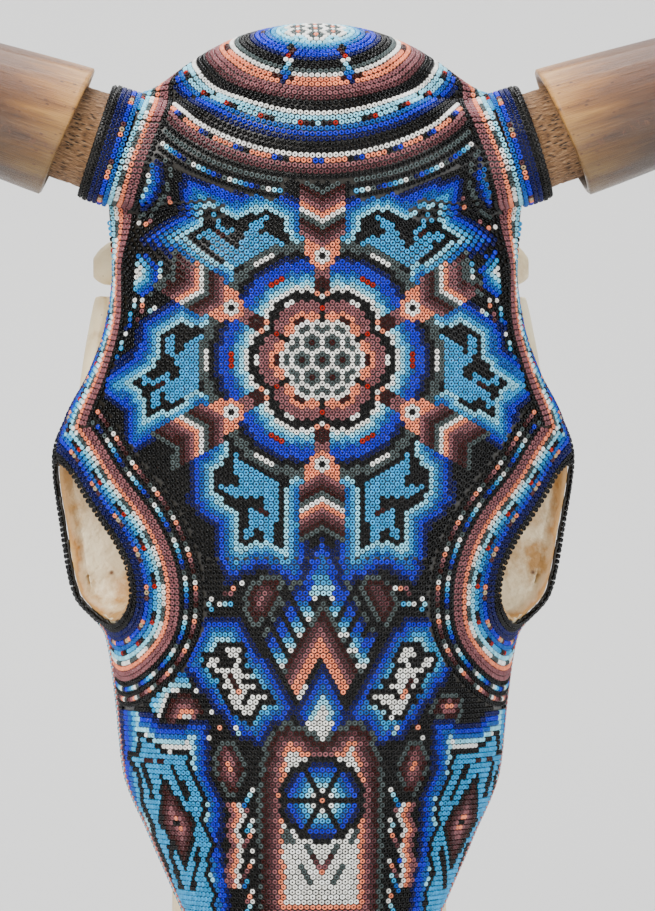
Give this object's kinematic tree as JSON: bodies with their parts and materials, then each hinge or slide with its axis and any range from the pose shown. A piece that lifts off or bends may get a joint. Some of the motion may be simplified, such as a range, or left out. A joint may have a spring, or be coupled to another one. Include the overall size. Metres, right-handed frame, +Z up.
{
  "type": "beaded cow skull",
  "caption": "Horned cow skull with its face covered in rows of glass seed beads set in wax; the horn sheaths pull off their bone cores.",
  "frame": {"origin": "the place inside the upper edge of the foramen magnum where a wall hook holds the skull", "axes": "+Z up towards the poll, +X to the right of somebody facing the skull, +Y to the back of the head"},
  "size_m": [0.6182, 0.1626, 0.5253],
  "materials": {
    "bone": "dry cream bone with brown stains, satin",
    "horn_core_bone": "tan pitted bone, matte",
    "horn": "cream and rose-brown keratin with lengthwise streaks, satin",
    "tooth": "yellowed enamel, semi-gloss",
    "wax": "brown beeswax, satin",
    "glass_beads": "opaque glass seed beads in many colours, glossy"
  },
  "bodies": {
    "skull": {"beads_brow": "glass_beads", "beads_cheek_left": "glass_beads", "beads_cheek_right": "glass_beads", "beads_collar_left": "glass_beads", "beads_collar_right": "glass_beads", "beads_dome": "glass_beads", "beads_eye_left": "glass_beads", "beads_eye_right": "glass_beads", "beads_forehead": "glass_beads", "beads_muzzle_left": "glass_beads", "beads_muzzle_right": "glass_beads", "beads_nose": "glass_beads", "beads_temple_left": "glass_beads", "beads_temple_right": "glass_beads", "cheek_tooth_left_1": "tooth", "cheek_tooth_left_2": "tooth", "cheek_tooth_left_3": "tooth", "cheek_tooth_left_4": "tooth", "cheek_tooth_left_5": "tooth", "cheek_tooth_left_6": "tooth", "cheek_tooth_right_1": "tooth", "cheek_tooth_right_2": "tooth", "cheek_tooth_right_3": "tooth", "cheek_tooth_right_4": "tooth", "cheek_tooth_right_5": "tooth", "cheek_tooth_right_6": "tooth", "frontal_left": "bone", "frontal_right": "bone", "horn_core_left": "horn_core_bone", "horn_core_right": "horn_core_bone", "incisive_left": "bone", "incisive_right": "bone", "lacrimal_left": "bone", "lacrimal_right": "bone", "maxilla_left": "bone", "maxilla_right": "bone", "nasal_left": "bone", "nasal_right": "bone", "occipital": "bone", "palate": "bone", "pterygoid_left": "bone", "pterygoid_right": "bone", "sphenoid": "bone", "temporal_left": "bone", "temporal_right": "bone", "vomer": "bone", "wax_collar_left": "wax", "wax_collar_right": "wax", "wax_lower": "wax", "wax_muzzle_left": "wax", "wax_muzzle_right": "wax", "wax_upper": "wax", "zygomatic_left": "bone", "zygomatic_right": "bone"},
    "sheath_left": {"horn_sheath_left": "horn"},
    "sheath_right": {"horn_sheath_right": "horn"}
  },
  "joints": [
    {"name": "left_sheath_slide", "type": "slide", "parent": "skull", "child": "sheath_left", "axis": [-0.9511, 0, 0.309], "range_m": [0, 0.13]},
    {"name": "right_sheath_slide", "type": "slide", "parent": "skull", "child": "sheath_right", "axis": [0.9511, 0, 0.309], "range_m": [0, 0.13]}
  ]
}
